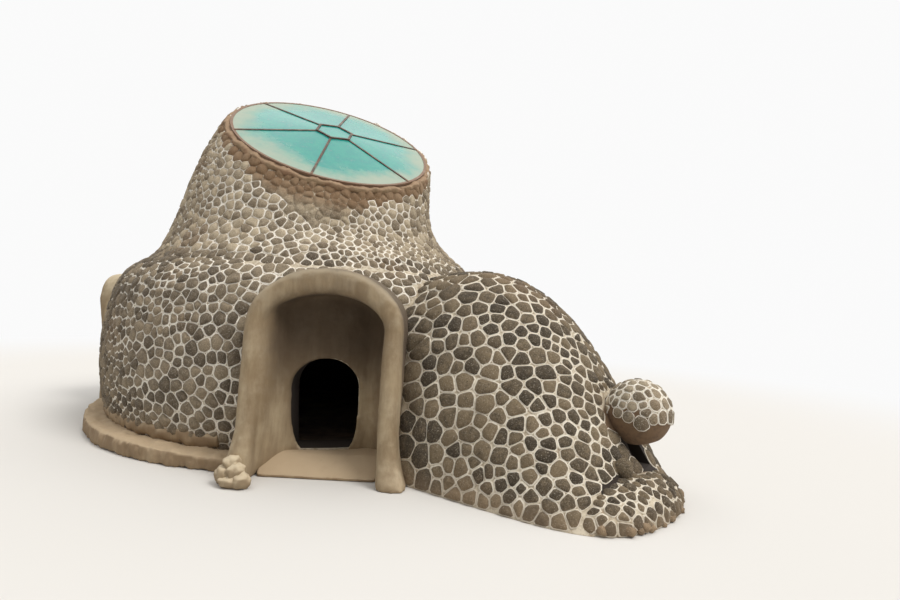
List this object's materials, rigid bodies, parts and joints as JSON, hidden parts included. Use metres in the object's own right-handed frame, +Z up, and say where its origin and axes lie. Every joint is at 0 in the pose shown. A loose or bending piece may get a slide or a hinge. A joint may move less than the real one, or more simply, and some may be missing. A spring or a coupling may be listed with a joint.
{
  "type": "vaulted earth house",
  "caption": "Small vaulted earth house with a lumpy wall, an arched entrance, a low side room and a tilted round skylight.",
  "frame": {"origin": "on the ground, at the centre of the round room's floor, on its underside", "axes": "+Z up, the entrance faces -Y, the side room points towards +X and -Y"},
  "size_m": [7.7009, 6.9039, 4.8361],
  "materials": {
    "lumpy_earth": "rough",
    "smooth_plaster": "rough",
    "curb_earth": "rough",
    "rammed_floor": "rough",
    "dark_steel": "rusted",
    "turquoise_glass": "dusty"
  },
  "bodies": {
    "root": {"apse_back_wall": "lumpy_earth", "apse_end_wall": "lumpy_earth", "apse_floor": "rammed_floor", "apse_front_wall": "lumpy_earth", "apse_toe": "lumpy_earth", "apse_vault": "lumpy_earth", "back_left_wall": "lumpy_earth", "back_right_wall": "lumpy_earth", "back_wall": "lumpy_earth", "bench_front": "smooth_plaster", "bench_left": "smooth_plaster", "earth_floor": "rammed_floor", "entrance_arch": "smooth_plaster", "entrance_left_jamb": "smooth_plaster", "entrance_right_jamb": "smooth_plaster", "entrance_sill": "smooth_plaster", "front_wall": "lumpy_earth", "left_wall": "lumpy_earth", "neck_back": "lumpy_earth", "neck_front": "lumpy_earth", "neck_left": "lumpy_earth", "neck_right": "lumpy_earth", "right_wall": "lumpy_earth", "side_surround_arch": "smooth_plaster", "side_surround_back_jamb": "smooth_plaster", "side_surround_front_jamb": "smooth_plaster", "skylight_curb": "curb_earth", "skylight_frame": "dark_steel", "skylight_hub_pane": "turquoise_glass", "skylight_panes": "turquoise_glass", "wall_before_side_opening": "lumpy_earth", "wall_behind_side_opening": "lumpy_earth", "wall_left_of_entrance": "lumpy_earth", "wall_left_of_passage": "lumpy_earth", "wall_over_entrance": "lumpy_earth", "wall_over_passage": "lumpy_earth", "wall_over_side_opening": "lumpy_earth", "wall_right_of_entrance": "lumpy_earth", "wall_right_of_passage": "lumpy_earth", "window_hood": "lumpy_earth"}
  },
  "joints": []
}
